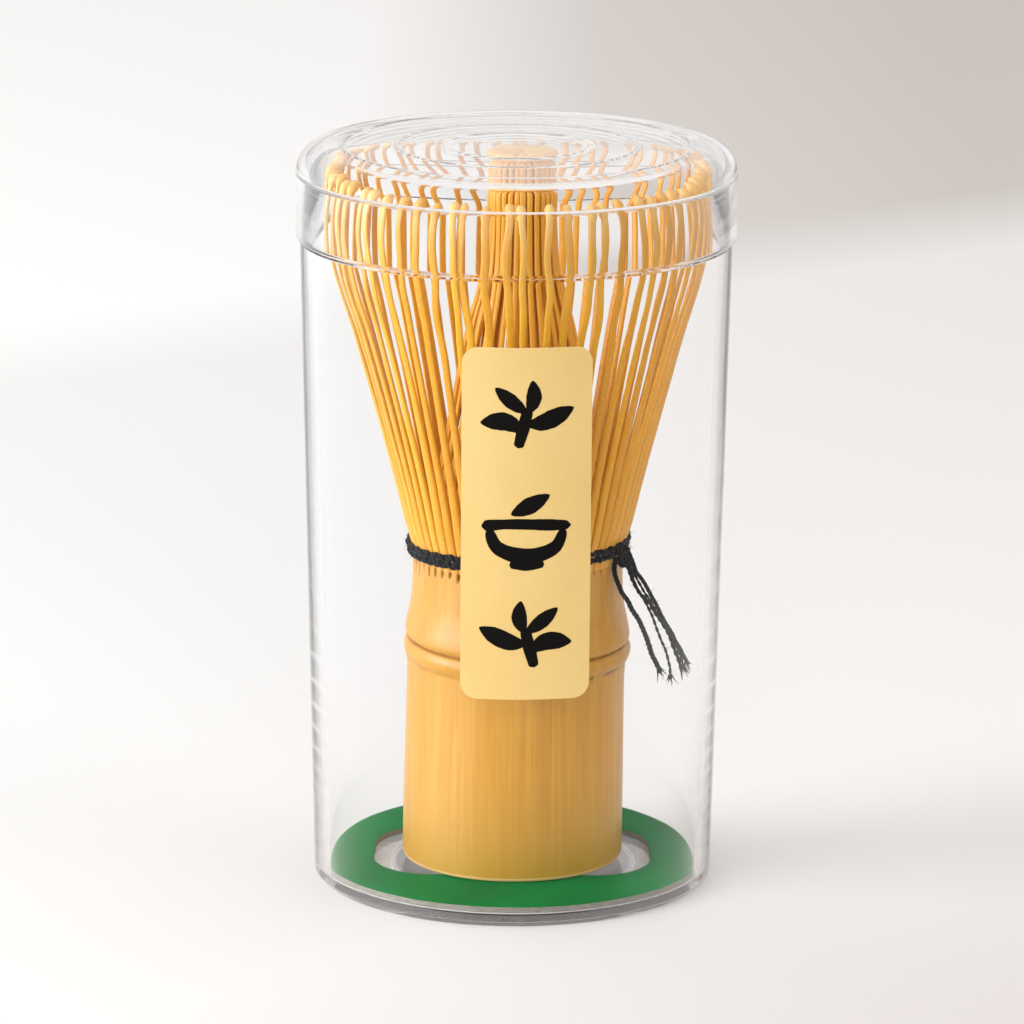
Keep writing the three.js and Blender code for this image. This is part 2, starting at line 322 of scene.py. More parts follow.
class Finish:
    """A Principled material, with short ways to add nodes to it."""

    def __init__(self, name, **constants):
        self.material = bpy.data.materials.new(name)
        self.material.use_nodes = True
        self.tree = self.material.node_tree
        self.shader = self.tree.nodes["Principled BSDF"]
        for socket, value in constants.items():
            self.shader.inputs[socket.replace("_", " ")].default_value = value

    def node(self, kind, inputs=None, **settings):
        made = self.tree.nodes.new(kind)
        for setting, value in settings.items():
            setattr(made, setting, value)
        for socket, value in (inputs or {}).items():
            if isinstance(value, bpy.types.NodeSocket):
                self.tree.links.new(value, made.inputs[socket])
            else:
                made.inputs[socket].default_value = value
        return made

    def place(self, scale):
        """Object coordinates times scale, in turns per metre."""
        coordinates = self.node("ShaderNodeTexCoord").outputs["Object"]
        return self.node("ShaderNodeMapping", {"Vector": coordinates, "Scale": scale}).outputs["Vector"]

    def noise(self, scale, detail=3.0, roughness=0.5):
        """Noise whose features are 1 / scale metres along each axis."""
        made = self.node("ShaderNodeTexNoise", {"Vector": self.place(scale), "Scale": 1.0,
                                                "Detail": detail, "Roughness": roughness})
        return made.outputs["Fac"]

    def mark(self, name):
        return self.node("ShaderNodeAttribute", attribute_name=name).outputs["Fac"]

    def height(self):
        coordinates = self.node("ShaderNodeTexCoord").outputs["Object"]
        return self.node("ShaderNodeSeparateXYZ", {"Vector": coordinates}).outputs["Z"]

    def spread(self, value, low, high, to_low=0.0, to_high=1.0):
        made = self.node("ShaderNodeMapRange", {"Value": value, "From Min": low, "From Max": high,
                                                "To Min": to_low, "To Max": to_high})
        return made.outputs["Result"]

    def maths(self, operation, a, b=0.0):
        made = self.node("ShaderNodeMath", {0: a, 1: b}, operation=operation)
        return made.outputs["Value"]

    def ramp(self, value, stops):
        made = self.node("ShaderNodeValToRGB", {"Fac": value})
        elements = made.color_ramp.elements
        while len(elements) < len(stops):
            elements.new(0.5)
        for element, (position, colour) in zip(elements, stops):
            element.position = position
            element.color = colour
        return made.outputs["Color"]

    def blend(self, share, first, second, way="MIX"):
        made = self.node("ShaderNodeMix", {"Factor": share}, data_type="RGBA", blend_type=way)
        for socket, value in zip((made.inputs[6], made.inputs[7]), (first, second)):
            if isinstance(value, bpy.types.NodeSocket):
                self.tree.links.new(value, socket)
            else:
                socket.default_value = value
        return made.outputs[2]

    def set(self, socket, value):
        self.tree.links.new(value, self.shader.inputs[socket])

    def bump(self, *layers):
        """layers are (height, distance in metres), laid over each other."""
        below = None
        for height, distance in layers:
            inputs = {"Height": height, "Distance": distance, "Strength": 1.0}
            if below:
                inputs["Normal"] = below
            below = self.node("ShaderNodeBump", inputs).outputs["Normal"]
        self.set("Normal", below)


def colour(red, green, blue):
    """A colour given as 0 to 255 on screen, as the linear numbers that shaders take."""
    def linear(value):
        value /= 255
        return value / 12.92 if value <= 0.04045 else ((value + 0.055) / 1.055) ** 2.4
    return (linear(red), linear(green), linear(blue), 1.0)


def bamboo_finish():
    """The culm's skin: fibres, mottling, brown in the groove, slits and scars, and a darker olive band at the
    foot that is partly the skin's own olive and partly painted shade and painted green light from the card.
    """
    finish = Finish("bamboo_skin", Specular_IOR_Level=0.45, Coat_Weight=0.5, Coat_Roughness=0.42)
    fibres = finish.noise((2400, 2400, 28), 5.0, 0.66)
    streaks = finish.noise((520, 520, 9), 3.0, 0.55)
    mottle = finish.noise((90, 90, 45), 3.0, 0.6)
    tint = finish.ramp(streaks, [(0.3, colour(200, 142, 38)), (0.52, colour(206, 148, 44)),
                                 (0.72, colour(213, 157, 56))])
    tint = finish.blend(finish.spread(fibres, 0.42, 0.7, 0.0, 0.6), tint, colour(184, 122, 30))
    tint = finish.blend(finish.spread(mottle, 0.5, 0.8, 0.0, 0.25), tint, colour(222, 172, 90))
    # Painted shade: darker and greener below about 20 mm. This is partly the skin's own olive, and partly the
    # shade and green light from the card near the floor, painted in.
    tint = finish.blend(finish.spread(finish.height(), 0.006, 0.02, 0.55, 0.0), tint, colour(168, 132, 36))
    tint = finish.blend(finish.mark("stain"), tint, colour(104, 52, 20))
    tint = finish.blend(finish.mark("inside"), tint, colour(228, 190, 126))
    finish.set("Base Color", tint)
    finish.set("Roughness", finish.spread(fibres, 0.3, 0.8, 0.36, 0.56))
    finish.bump((fibres, 0.00003), (mottle, 0.00008))
    return finish.material


def tine_finish():
    """Shaved bamboo: golden along the tine and paler at its tip, each tine a little different. The gathered tines
    get only the lighter tones, as painted light on the bundle that the flared tines shade.
    """
    finish = Finish("shaved_bamboo", Specular_IOR_Level=0.45)
    along = finish.mark("along")
    tone = finish.mark("tone")
    fibres = finish.noise((3800, 3800, 60), 3.0, 0.6)
    tint = finish.ramp(along, [(0.0, colour(236, 178, 84)), (0.12, colour(236, 171, 40)),
                               (0.7, colour(236, 170, 34)), (0.88, colour(238, 178, 76)),
                               (1.0, colour(246, 204, 136))])
    # Each tine is darker at random. The gathered tines take only the lighter half of this, which is painted
    # light.
    tint = finish.blend(finish.spread(tone, 0.0, 1.0, 0.0, 0.6), tint, colour(212, 138, 22))
    tint = finish.blend(finish.spread(fibres, 0.45, 0.75, 0.0, 0.35), tint, colour(244, 196, 104))
    finish.set("Base Color", tint)
    finish.set("Roughness", finish.spread(fibres, 0.3, 0.8, 0.32, 0.52))
    finish.bump((fibres, 0.00004))
    return finish.material


def button_finish():
    """The folded ends of the inner tines: pale, with fine fibres and brown creases."""
    finish = Finish("folded_bamboo", Specular_IOR_Level=0.35)
    fibres = finish.noise((2200, 2200, 900), 4.0, 0.6)
    patches = finish.noise((420, 420, 420), 3.0, 0.6)
    tint = finish.ramp(patches, [(0.3, colour(242, 178, 76)), (0.6, colour(250, 194, 92)),
                                 (0.8, colour(254, 206, 112))])
    tint = finish.blend(finish.spread(fibres, 0.5, 0.8, 0.0, 0.5), tint, colour(206, 140, 56))
    tint = finish.blend(finish.mark("stain"), tint, colour(104, 52, 14))
    finish.set("Base Color", tint)
    finish.set("Roughness", finish.spread(fibres, 0.3, 0.8, 0.45, 0.65))
    finish.bump((fibres, 0.00008), (patches, 0.00012))
    return finish.material


def thread_finish():
    """Matt black cotton whose cut ends have worn grey."""
    finish = Finish("black_thread", Specular_IOR_Level=0.25, Sheen_Weight=0.2, Sheen_Roughness=0.5,
                    Sheen_Tint=(0.6, 0.66, 0.72, 1.0))
    strands = finish.noise((5200, 5200, 5200), 3.0, 0.6)
    worn = finish.mark("worn")
    tint = finish.ramp(strands, [(0.35, colour(9, 9, 11)), (0.6, colour(17, 18, 21)),
                                 (0.8, colour(32, 34, 38))])
    tint = finish.blend(finish.spread(worn, 0.0, 1.0, 0.0, 0.65), tint, colour(74, 80, 78))
    finish.set("Base Color", tint)
    finish.set("Roughness", finish.spread(strands, 0.3, 0.8, 0.75, 0.95))
    finish.bump((strands, 0.00006))
    return finish.material


def board_finishes():
    """The card ring's green face, and its grey cut edge."""
    face = Finish("green_card", Specular_IOR_Level=0.012)
    fibre = face.noise((900, 900, 900), 4.0, 0.65)
    cloud = face.noise((60, 60, 60), 2.0, 0.5)
    tint = face.ramp(cloud, [(0.3, colour(2, 108, 46)), (0.7, colour(6, 126, 60))])
    tint = face.blend(face.spread(fibre, 0.5, 0.8, 0.0, 0.35), tint, colour(24, 138, 74))
    face.set("Base Color", tint)
    face.set("Roughness", face.spread(fibre, 0.3, 0.8, 0.28, 0.42))
    face.bump((fibre, 0.00001), (cloud, 0.00004))
    edge = Finish("grey_card", Specular_IOR_Level=0.2)
    layers = edge.noise((700, 700, 5200), 4.0, 0.7)
    edge.set("Base Color", edge.ramp(layers, [(0.3, colour(118, 114, 106)), (0.7, colour(160, 156, 146))]))
    edge.set("Roughness", edge.spread(layers, 0.3, 0.8, 0.8, 0.95))
    edge.bump((layers, 0.0001))
    return [face.material, edge.material]


def paper_finishes():
    """The label's cream paper with its white cut edge, and the ink printed on it."""
    face = Finish("cream_paper", Specular_IOR_Level=0.35)
    fibre = face.noise((1500, 1500, 1500), 5.0, 0.7)
    cloud = face.noise((70, 70, 50), 2.0, 0.5)
    tint = face.ramp(cloud, [(0.3, colour(218, 184, 114)), (0.7, colour(222, 190, 122))])
    tint = face.blend(face.spread(fibre, 0.5, 0.8, 0.0, 0.3), tint, colour(234, 206, 148))
    face.set("Base Color", tint)
    face.set("Roughness", face.spread(fibre, 0.3, 0.8, 0.48, 0.66))
    face.bump((fibre, 0.00002))
    rim = Finish("paper_edge", Specular_IOR_Level=0.2)
    grain = rim.noise((2500, 2500, 2500), 3.0, 0.6)
    rim.set("Base Color", rim.ramp(grain, [(0.3, colour(240, 226, 186)), (0.7, colour(255, 246, 216))]))
    rim.set("Roughness", rim.spread(grain, 0.3, 0.8, 0.7, 0.9))
    ink = Finish("black_ink", Specular_IOR_Level=0.1)
    speck = ink.noise((2400, 2400, 2400), 4.0, 0.7)
    ink.set("Base Color", ink.ramp(speck, [(0.3, colour(9, 8, 7)), (0.68, colour(14, 12, 10)),
                                           (0.84, colour(70, 60, 42))]))
    ink.set("Roughness", ink.spread(speck, 0.3, 0.8, 0.5, 0.7))
    return face.material, rim.material, ink.material


def clear_finish():
    """Clear moulded plastic. Lamps shine through it, so that they light what it holds."""
    finish = Finish("clear_plastic", Transmission_Weight=1.0, IOR=1.49, Base_Color=(0.997, 0.998, 1.0, 1.0),
                    Specular_Tint=(0.15, 0.15, 0.15, 1.0))
    waves = finish.noise((55, 55, 18), 2.0, 0.4)
    haze = finish.noise((110, 110, 36), 3.0, 0.5)
    finish.set("Roughness", finish.spread(haze, 0.45, 0.85, 0.0, 0.012))
    finish.bump((waves, 0.00004))
    rays = finish.node("ShaderNodeLightPath")
    open_air = finish.node("ShaderNodeBsdfTransparent", {"Color": (0.93, 0.932, 0.938, 1.0)})
    choice = finish.node("ShaderNodeMixShader", {0: rays.outputs["Is Shadow Ray"],
                                                 1: finish.shader.outputs["BSDF"],
                                                 2: open_air.outputs["BSDF"]})
    output = finish.tree.nodes["Material Output"]
    finish.tree.links.new(choice.outputs["Shader"], output.inputs["Surface"])
    return finish.material


# ---- Case ----

def cup_radius(height):
    return CUP_HIGH.x - CUP_FLARE * (CUP_SHOULDER - height)


def make_cup(plastic):
    floor = BOARD_LOW.z - 0.05
    groove_low, groove_high, groove_depth = 19.1, 20.1, 0.35
    neck_in, neck_out = CUP_NECK
    corners = [
        (0, 0, 0),
        (groove_low, 0, 0.08),
        (groove_low, groove_depth, 0.12),
        (groove_high, groove_depth, 0.12),
        (groove_high, 0, 0.08),
        (cup_radius(0) - 1.0, 0, 0.35),
        (cup_radius(0), 1.0, 0.35),
        (cup_radius(CUP_SHOULDER), CUP_SHOULDER, 0.25),
        (neck_out, CUP_SHOULDER + CUP_NECK_STEP, 0.3),
        (neck_out, CUP_HIGH.z, 0.4),
        (neck_in, CUP_HIGH.z, 0.4),
        (neck_in, CUP_SHOULDER, 0.6),
        (cup_radius(floor) - CUP_WALL, floor, 0.5),
        (0, floor, 0),
    ]
    shell = Shell()
    revolve(shell, rounded(corners, 7))
    make_piece("clear_cup", shell, "case", [plastic], ["case_cup"])


def make_lid(plastic):
    top = LID_HIGH.z - LID_RIDGE_ROOM
    ceiling = top - LID_TOP_WALL
    seat = CUP_HIGH.z + 0.3
    radius = LID_HIGH.x
    bore = radius - LID_WALL
    ledge = CUP_NECK[0] + 1.0
    corners = [
        (0, ceiling, 0),
        (ledge, ceiling, LID_INNER_EDGE),
        (ledge, seat, 0.15),
        (bore, seat, 0.4),
        (bore, LID_LOW.z, 0.35),
        (radius, LID_LOW.z, 0.55),
        (radius, top, LID_EDGE),
    ]
    for inner, outer in LID_RIDGES:
        slope = (outer - inner) * 0.4
        for radius_at, height in ((outer, top), (outer - slope, top + LID_RIDGE_HEIGHT),
                                  (inner + slope, top + LID_RIDGE_HEIGHT), (inner, top)):
            corners.append((radius_at, height, LID_RIDGE_ROUNDING))
    corners.append((0, top, 0))
    shell = Shell()
    revolve(shell, rounded(corners, 7))
    make_piece("clear_lid", shell, "lid", [plastic], ["case_lid"])


def hole_reach(angle, half_width, half_depth, corner):
    """How far the card's hole, a rectangle with round corners, reaches from its middle at an angle."""
    x, y = abs(math.cos(angle)), abs(math.sin(angle))
    flat = min(half_width / max(x, 1e-9), half_depth / max(y, 1e-9))
    centre = Vector((half_width - corner, half_depth - corner))
    along = centre.x * x + centre.y * y
    root = along ** 2 - centre.length_squared + corner ** 2
    if root < 0:
        return flat
    reach = along + math.sqrt(root)
    inside_corner = reach * x > centre.x and reach * y > centre.y
    return reach if inside_corner else flat


def make_board():
    """The card ring: an outer circle and a long rounded hole, with slightly crushed edges."""
    shell = Shell()
    low, high = BOARD_LOW.z, BOARD_HIGH.z
    crush = 0.12
    steps = 288
    outer = BOARD_HIGH.x
    radial_steps = 10
    points = []
    loop = []
    for step in range(radial_steps + 1):
        loop.append((step / radial_steps, high))
    for step in range(radial_steps + 1):
        loop.append((1 - step / radial_steps, low))
    for step in range(steps):
        angle = TURN * step / steps
        hole = hole_reach(angle, *BOARD_HOLE)
        direction = Vector((math.cos(angle), math.sin(angle), 0))
        edge_shake = 0.06 * noise.noise(direction * 9)
        for share, height in loop:
            radius = mix(hole + edge_shake, outer + edge_shake * 0.5, share)
            near_edge = min(share, 1 - share) < 1e-6
            sag = crush if near_edge else 0.0
            level = height - sag if height == high else height + sag
            ripple = 0.05 * noise.noise(Vector((radius * direction.x, radius * direction.y, 0)) * 0.09)
            points.append(direction * radius + Vector((0, 0, level + ripple)))
    size = len(loop)
    faces = []
    slots = []
    for step in range(steps):
        this, following = step * size, (step + 1) % steps * size
        for corner in range(size):
            after = (corner + 1) % size
            faces.append([this + corner, this + after, following + after, following + corner])
            slots.append(0 if corner < radial_steps else 1)
    shell.add(points, faces)
    shell.slots = slots
    make_piece("card_ring", shell, "case", board_finishes(), ["base_ring"])


# ---- Label ----

LABEL_CORNER = 2.6
LABEL_THICKNESS = 0.12
LABEL_MIDDLE = (LABEL_LOW.z + LABEL_HIGH.z) / 2
LABEL_HALF_WIDTH = (LABEL_HIGH.x - LABEL_LOW.x) / 2 + 0.1
LABEL_TURN = math.asin((LABEL_HIGH.x + LABEL_LOW.x) / 2 / cup_radius(LABEL_MIDDLE))


def on_label(across, height, lift):
    """The point of the cup's outside at a distance across the label and a height, lifted off it."""
    radius = cup_radius(height)
    angle = LABEL_TURN + across / radius - math.pi / 2
    radius += lift
    return Vector((radius * math.cos(angle), radius * math.sin(angle), height))


def label_half_width(height):
    """Half the label's width at a height, less where its corners are round."""
    inward = min(height - LABEL_LOW.z, LABEL_HIGH.z - height)
    if inward >= LABEL_CORNER:
        return LABEL_HALF_WIDTH
    drop = LABEL_CORNER - inward
    return LABEL_HALF_WIDTH - LABEL_CORNER + math.sqrt(max(LABEL_CORNER ** 2 - drop ** 2, 0.0))


def label_heights():
    """Heights of the label's mesh rows, closer together round its corners."""
    arc_steps = 10
    heights = []
    for step in range(arc_steps + 1):
        angle = math.pi / 2 * step / arc_steps
        heights.append(LABEL_LOW.z + LABEL_CORNER * (1 - math.cos(angle)))
    straight = 44
    for step in range(1, straight):
        heights.append(mix(LABEL_LOW.z + LABEL_CORNER, LABEL_HIGH.z - LABEL_CORNER, step / straight))
    heights.extend(LABEL_LOW.z + LABEL_HIGH.z - height for height in reversed(heights[:arc_steps + 1]))
    return heights


def make_label(paper, rim):
    shell = Shell()
    columns = 28
    heights = label_heights()
    points = []
    for lift in (0.03, 0.03 + LABEL_THICKNESS):
        for height in heights:
            half = label_half_width(height)
            for column in range(columns + 1):
                across = mix(-half, half, column / columns)
                points.append(on_label(across, height, lift))
    width = columns + 1
    layer = len(heights) * width
    faces = []
    slots = []
    for row in range(len(heights) - 1):
        for column in range(columns):
            first = row * width + column
            faces.append([first, first + 1, first + 1 + width, first + width])
            slots.append(1)
            faces.append([corner + layer for corner in faces[-1]])
            slots.append(0)
    border = [column for column in range(width)]
    border += [row * width + columns for row in range(1, len(heights))]
    border += [(len(heights) - 1) * width + column for column in range(columns - 1, -1, -1)]
    border += [row * width for row in range(len(heights) - 2, 0, -1)]
    for start, end in zip(border, border[1:] + border[:1]):
        faces.append([start, end, end + layer, start + layer])
        slots.append(1)
    shell.add(points, faces)
    shell.slots = slots
    make_piece("paper_label", shell, "case", [paper, rim], ["label"])


def brush_stroke(shell, controls, widths, middle):
    """A thin raised stroke of ink on the label. controls are (across, up) points about middle."""
    path = spline([(x, y, 0) for x, y in controls], 26)
    last = len(path) - 1
    under = 0.03 + LABEL_THICKNESS
    points = []
    for index, point in enumerate(path):
        before = path[max(index - 1, 0)]
        after = path[min(index + 1, last)]
        along = (after - before).normalized()
        half = stroke_width(widths, index / last) / 2
        rough = 1 + 0.05 * noise.noise(Vector((index * 0.7, middle, half)))
        for side in (-1, 1):
            across = point.x - along.y * half * side * rough
            height = middle + point.y + along.x * half * side * rough
            points.append(on_label(across, height, under))
            points.append(on_label(across, height, under + 0.03))
    faces = []
    for index in range(last):
        low, high = index * 4, index * 4 + 4
        for a, b in ((0, 1), (1, 3), (3, 2), (2, 0)):
            faces.append([low + a, low + b, high + b, high + a])
    faces.append([0, 1, 3, 2])
    faces.append([last * 4 + corner for corner in (0, 1, 3, 2)])
    shell.add(points, faces)


def stroke_width(widths, share):
    """The width at a share of a stroke, between widths at even steps, with a round start and end."""
    place = share * (len(widths) - 1)
    index = min(int(place), len(widths) - 2)
    width = mix(widths[index], widths[index + 1], place - index)
    end = min(share, 1 - share) / 0.08
    return width * math.sqrt(max(1 - (1 - min(end, 1)) ** 2, 0.02))


def make_motifs(ink):
    """Three plain brush motifs: a sprig of leaves, a bowl with a leaf over it, and the sprig mirrored."""
    shell = Shell()
    span = LABEL_HIGH.z - LABEL_LOW.z
    rows = [LABEL_LOW.z + span * share for share in (0.81, 0.487, 0.185)]
    leaf = (0.7, 2.4, 3.0, 2.5, 0.5)
    stem = (1.5, 2.0, 1.7)
    sprig = [
        ([(-1.4, -5.2), (-0.6, -2.0), (0.1, 1.0)], stem),
        ([(-0.8, -2.6), (-3.4, -1.0), (-7.3, -1.2)], leaf),
        ([(-0.2, -1.4), (2.8, -1.0), (7.3, 1.2)], leaf),
        ([(0.0, 0.4), (-2.2, 2.0), (-5.0, 4.4)], (0.6, 1.9, 2.4, 1.9, 0.5)),
        ([(0.2, 0.4), (1.0, 2.8), (0.8, 5.6)], (0.7, 2.0, 2.5, 1.9, 0.5)),
    ]
    bowl = [
        ([(-7.0, 0.5), (-2.0, 0.9), (7.0, 0.6)], (2.0, 1.6, 1.7, 1.9, 1.5)),
        ([(-6.0, 0.2), (-4.4, -3.0), (0.0, -4.3), (4.4, -3.0), (6.0, 0.2)], (1.5, 2.3, 2.6, 2.2, 1.4)),
        ([(-2.6, -5.6), (0.2, -5.8), (2.8, -5.5)], (1.3, 1.7, 1.2)),
        ([(-2.4, 2.4), (0.0, 3.6), (3.6, 5.6)], (0.6, 2.2, 2.8, 2.1, 0.5)),
    ]
    for middle, flip, strokes in ((rows[0], 1, sprig), (rows[1], 1, bowl), (rows[2], -1, sprig)):
        for controls, widths in strokes:
            brush_stroke(shell, [(x * flip, y) for x, y in controls], widths, middle)
    make_piece("ink_motifs", shell, "case", [ink])


# ---- Handle ----

def lean(point, at_top=LEAN_AT_BINDING):
    """Moves a point of the whisk as it leans in the case: none at its foot, at_top at the button."""
    if point.z <= BINDING_HIGH.z:
        shift = LEAN_AT_BINDING * (point.z - HANDLE_LOW.z) / (BINDING_HIGH.z - HANDLE_LOW.z)
    else:
        share = smoothstep(BINDING_HIGH.z, BUTTON_TOP, point.z)
        shift = mix(LEAN_AT_BINDING, at_top, share)
    return point + Vector((shift, 0, 0))


def handle_outline():
    """The culm's hollow foot, its outside in three runs, and its inside above the node's wall."""
    foot, top = HANDLE_LOW.z, BINDING_LOW.z + 0.2
    bead = HANDLE_HIGH.x
    groove = NODE_HEIGHT
    bore = bead - CULM_WALL
    hollow = rounded([(0, 37, 0), (bore, 37, 2.0), (bore, foot, 0.4), (18.0, foot, 0.6),
                      (18.0, foot + 2, 0)])[:-1]
    side = spline([
        (18.0, foot + 0.7), (17.95, 12), (17.85, 22), (17.75, groove - 9), (17.75, groove - 4.2),
        (17.78, groove - 3.3), (18.08, groove - 2.75), (bead + 0.1, groove - 1.5), (18.1, groove - 0.6),
        (17.8, groove - 0.15),
    ], 100)
    crease = [Vector((17.45, groove - 0.04)), Vector((17.45, groove + 0.1))]
    upper = spline([
        (17.8, groove + 0.25), (18.1, groove + 0.9), (18.1, groove + 1.6), (17.9, groove + 2.9),
        (17.6, groove + 4.4), (17.3, groove + 6.4), (17.15, groove + 8.1), (NECK_RADIUS, 50),
        (NECK_RADIUS, 52), (NECK_RADIUS, top),
    ], 70)
    inside = rounded([(NECK_RADIUS, top, 0), (NECK_RADIUS - 3.2, top, 0.2), (NECK_RADIUS - 3.5, 42, 1.5),
                      (0, 42, 0)])[1:]
    return hollow, side, crease, upper, inside


def binding_level(direction):
    """The height of the binding's middle. It was wound a little higher in front and on the right."""
    return ((BINDING_LOW.z + BINDING_HIGH.z) / 2 - BINDING_DROP + BINDING_RISE[1] * direction.y
            + BINDING_RISE[0] * direction.x)


def slit_share(angle, height):
    """How deep the slits between the tines reach here: 0 for none, 1 in the middle of a slit."""
    place = angle / PITCH
    number = round(place)
    direction = Vector((math.cos(angle), math.sin(angle), 0))
    start = binding_level(direction) - 2.7 + 1.6 * noise.noise(Vector((number * 3.1, 0, 0)))
    across = abs(place - number) / 0.16
    if across > 1:
        return 0.0
    return (1 - across) * smoothstep(start - 0.9, start + 0.8, height)


def handle_point(point, angle):
    """Puts the culm's small unevenness, tilted node and slits on a point of its outside."""
    radius = Vector((point.x, point.y)).length
    if radius < HANDLE_HIGH.x - CULM_WALL + 1:
        return lean(point)
    direction = Vector((math.cos(angle), math.sin(angle), 0))
    uneven = 0.12 * noise.noise(direction * 1.3 + Vector((0, 0, point.z * 0.02)))
    near_node = 1 - smoothstep(0, 7, abs(point.z - NODE_HEIGHT))
    knobbly = 0.12 * near_node * noise.noise(direction * 5 + Vector((0, 0, point.z * 0.3)))
    right_swell = 0.35 * near_node * max(direction.x, 0) ** 2
    scar = scar_depth(direction, point.z)
    slit = SLIT_DEPTH * slit_share(angle, point.z)
    sunk = (radius + uneven + knobbly + right_swell - slit - 0.16 * scar) * direction
    drop = -math.tan(NODE_TILT) * radius * direction.x * near_node
    return lean(Vector((sunk.x, sunk.y, point.z + drop)))


def scar_depth(direction, height):
    """Root scars: a ragged row of small pits under the bead, mostly on the right."""
    low, high = NODE_HEIGHT - 3.9, NODE_HEIGHT - 2.4
    if not low < height < high + 0.2:
        return 0.0
    band = 1 - abs(height - (low + high) / 2 - 0.25 * noise.noise(direction * 4)) / 0.55
    pit = noise.noise(direction * 24 + Vector((0, 0, height * 0.4))) + 0.02
    share = 0.25 + 0.75 * smoothstep(-0.1, 0.7, direction.x)
    return max(band, 0.0) * min(max(pit * 5, 0.0), 1.0) * share


def handle_stain(point, angle):
    """How brown the culm is here: in its groove, its slits and its root scars."""
    direction = Vector((math.cos(angle), math.sin(angle), 0))
    groove = 1 - smoothstep(0.05, 0.42, abs(point.z - NODE_HEIGHT - 0.03))
    groove *= 0.55 + 0.45 * noise.noise(direction * 7)
    slit = slit_share(angle, point.z)
    return min(max(0.85 * groove, 0.85 * min(slit * 1.7, 1), 0.9 * scar_depth(direction, point.z)), 1.0)


def make_handle():
    hollow, side, crease, upper, inside = handle_outline()
    outline = hollow + side + crease + upper + inside
    outer_rows = range(len(hollow), len(outline) - len(inside))
    steps = TINES * SLIT_COLUMNS
    stains = []
    insides = []
    for row, (radius, height) in enumerate(outline):
        for step in range(1 if radius < 1e-6 else steps):
            angle = TURN * step / steps
            on_skin = row in outer_rows
            stains.append(handle_stain(Vector((0, 0, height)), angle) if on_skin else 0.0)
            insides.append(0.0 if on_skin else 0.8)
    shell = Shell("stain", "inside")
    revolve(shell, outline, steps, shape=handle_point, stain=stains, inside=insides)
    make_piece("bamboo_handle", shell, "whisk", [bamboo_finish()], ["handle"], sharp=60)


# ---- Tines ----

OUTER_LINE = [
    (16.55, 53.2), (16.85, 55), (17.5, 57.2), (18.3, 60), (20.6, 69.1), (26.2, 89.3), (29.5, 100.3),
    (30.75, 107.3), (30.9, 111.6), (30.4, 114.3), (29.6, 115.5), (28.6, 116.0),
]
INNER_LINE = [
    (14.6, 53.2), (14.5, 57.2), (11.6, 73.5), (8.8, 89.2), (6.9, 96.5), (5.75, 102.5),
    (5.4, 108.5), (5.35, 114), (4.7, 115.8), (3.2, 116.6),
]
INNER_BEHIND = 0.95     # every second inner tine lies this much nearer the axis


def tine_path(line, angle, stations, drift, sway, reach, lift, shift, weave=0.0):
    """A tine's middle line. drift turns it towards its tip, sway in its middle, reach and lift move its
    tip, and weave lets its upper part wander from side to side."""
    path = []
    for index, (radius, height) in enumerate(spline(line, stations)):
        share = index / (stations - 1)
        turned = angle + drift * smoothstep(0.35, 0.95, share) + sway * math.sin(math.pi * share) ** 2
        turned += weave * smoothstep(0.5, 0.8, share) * noise.noise(Vector((angle * 40, share * 8, 0)))
        radius += reach * share ** 2
        height += lift * smoothstep(0.7, 1, share)
        path.append(lean(Vector((radius * math.cos(turned), radius * math.sin(turned), height)), shift))
    return path


def tine_section(width, thickness, bead):
    """A tine's section along its length: thinning from root to tip, with a bead at its end."""
    def section(share):
        wide = mix(width[0], width[1], smoothstep(0, 0.5, share))
        thick = mix(thickness[0], thickness[1], smoothstep(0, 0.7, share))
        swell = smoothstep(0.955, 0.975, share)
        end = math.sqrt(max(1 - (max(share - 0.975, 0) / 0.025) ** 2, 0.05))
        return oval(mix(wide, bead, swell) * end, mix(thick, bead, swell) * end, 12, mix(0.72, 1, swell))
    return section


def make_outer_tines(material):
    chance = random.Random(11)
    for stave in range(STAVES):
        shell = Shell("along", "tone")
        for tine in range(TINES_PER_STAVE):
            number = stave * TINES_PER_STAVE + tine
            angle = (number - (TINES_PER_STAVE - 1) / 2) * PITCH
            pull = chance.choice((-1, 1)) * PITCH * (0.3 if chance.random() < 0.25 else 0.1)
            path = tine_path(OUTER_LINE, angle, 90, pull + chance.gauss(0, 0.08) * PITCH,
                             chance.gauss(0, 0.07) * PITCH, chance.gauss(0, 0.35), chance.gauss(0, 0.25),
                             LEAN_OF_CROWN, 0.024)
            scale = 1 + chance.gauss(0, 0.07)
            width = [value * scale for value in OUTER_WIDTH]
            sweep(shell, path, tine_section(width, OUTER_THICKNESS, OUTER_BEAD), outward=away_from_axis,
                  along=lambda share: share, tone=chance.random())
        name = f"flared_tines_{stave + 1:02d}"
        make_piece(name, shell, "whisk", [material], [f"outer_tines_{stave + 1:02d}"], sharp=50)


